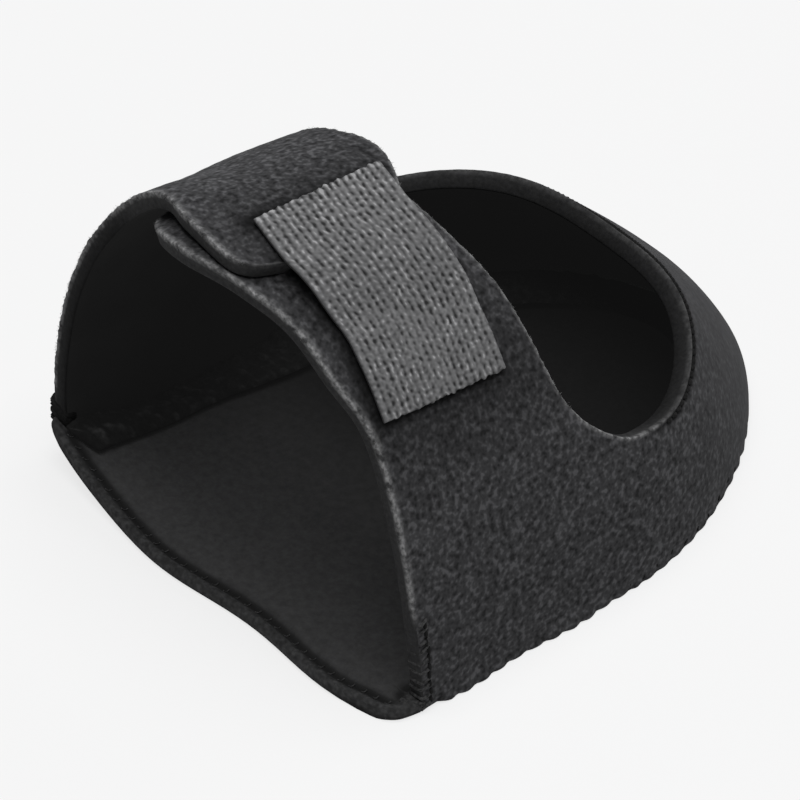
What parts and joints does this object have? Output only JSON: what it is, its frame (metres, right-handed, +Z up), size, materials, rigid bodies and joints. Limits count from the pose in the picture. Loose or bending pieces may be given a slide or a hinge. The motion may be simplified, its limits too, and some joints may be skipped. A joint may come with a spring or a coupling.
{
  "type": "heel sleeve",
  "caption": "Short open-toed heel sleeve in black neoprene: a rounded heel cup with an ankle opening, closed over the instep by a lapped strap with a grey hook tab.",
  "frame": {"origin": "on the floor under the middle of the sleeve", "axes": "+Z up, +Y from the toe opening to the back of the heel, +X to the side that the strap closes on"},
  "size_m": [0.0884, 0.1122, 0.0755],
  "materials": {
    "neoprene": "black looped pile cloth on foam, cut edges greyer",
    "sole_cloth": "smooth black knit lining",
    "seam_thread": "black overlock thread",
    "hook_tape": "grey woven tape in lengthwise ribs"
  },
  "bodies": {
    "root": {"upper": "neoprene", "sole": "sole_cloth", "sole_seam": "seam_thread", "hook_tab": "hook_tape"}
  },
  "joints": []
}
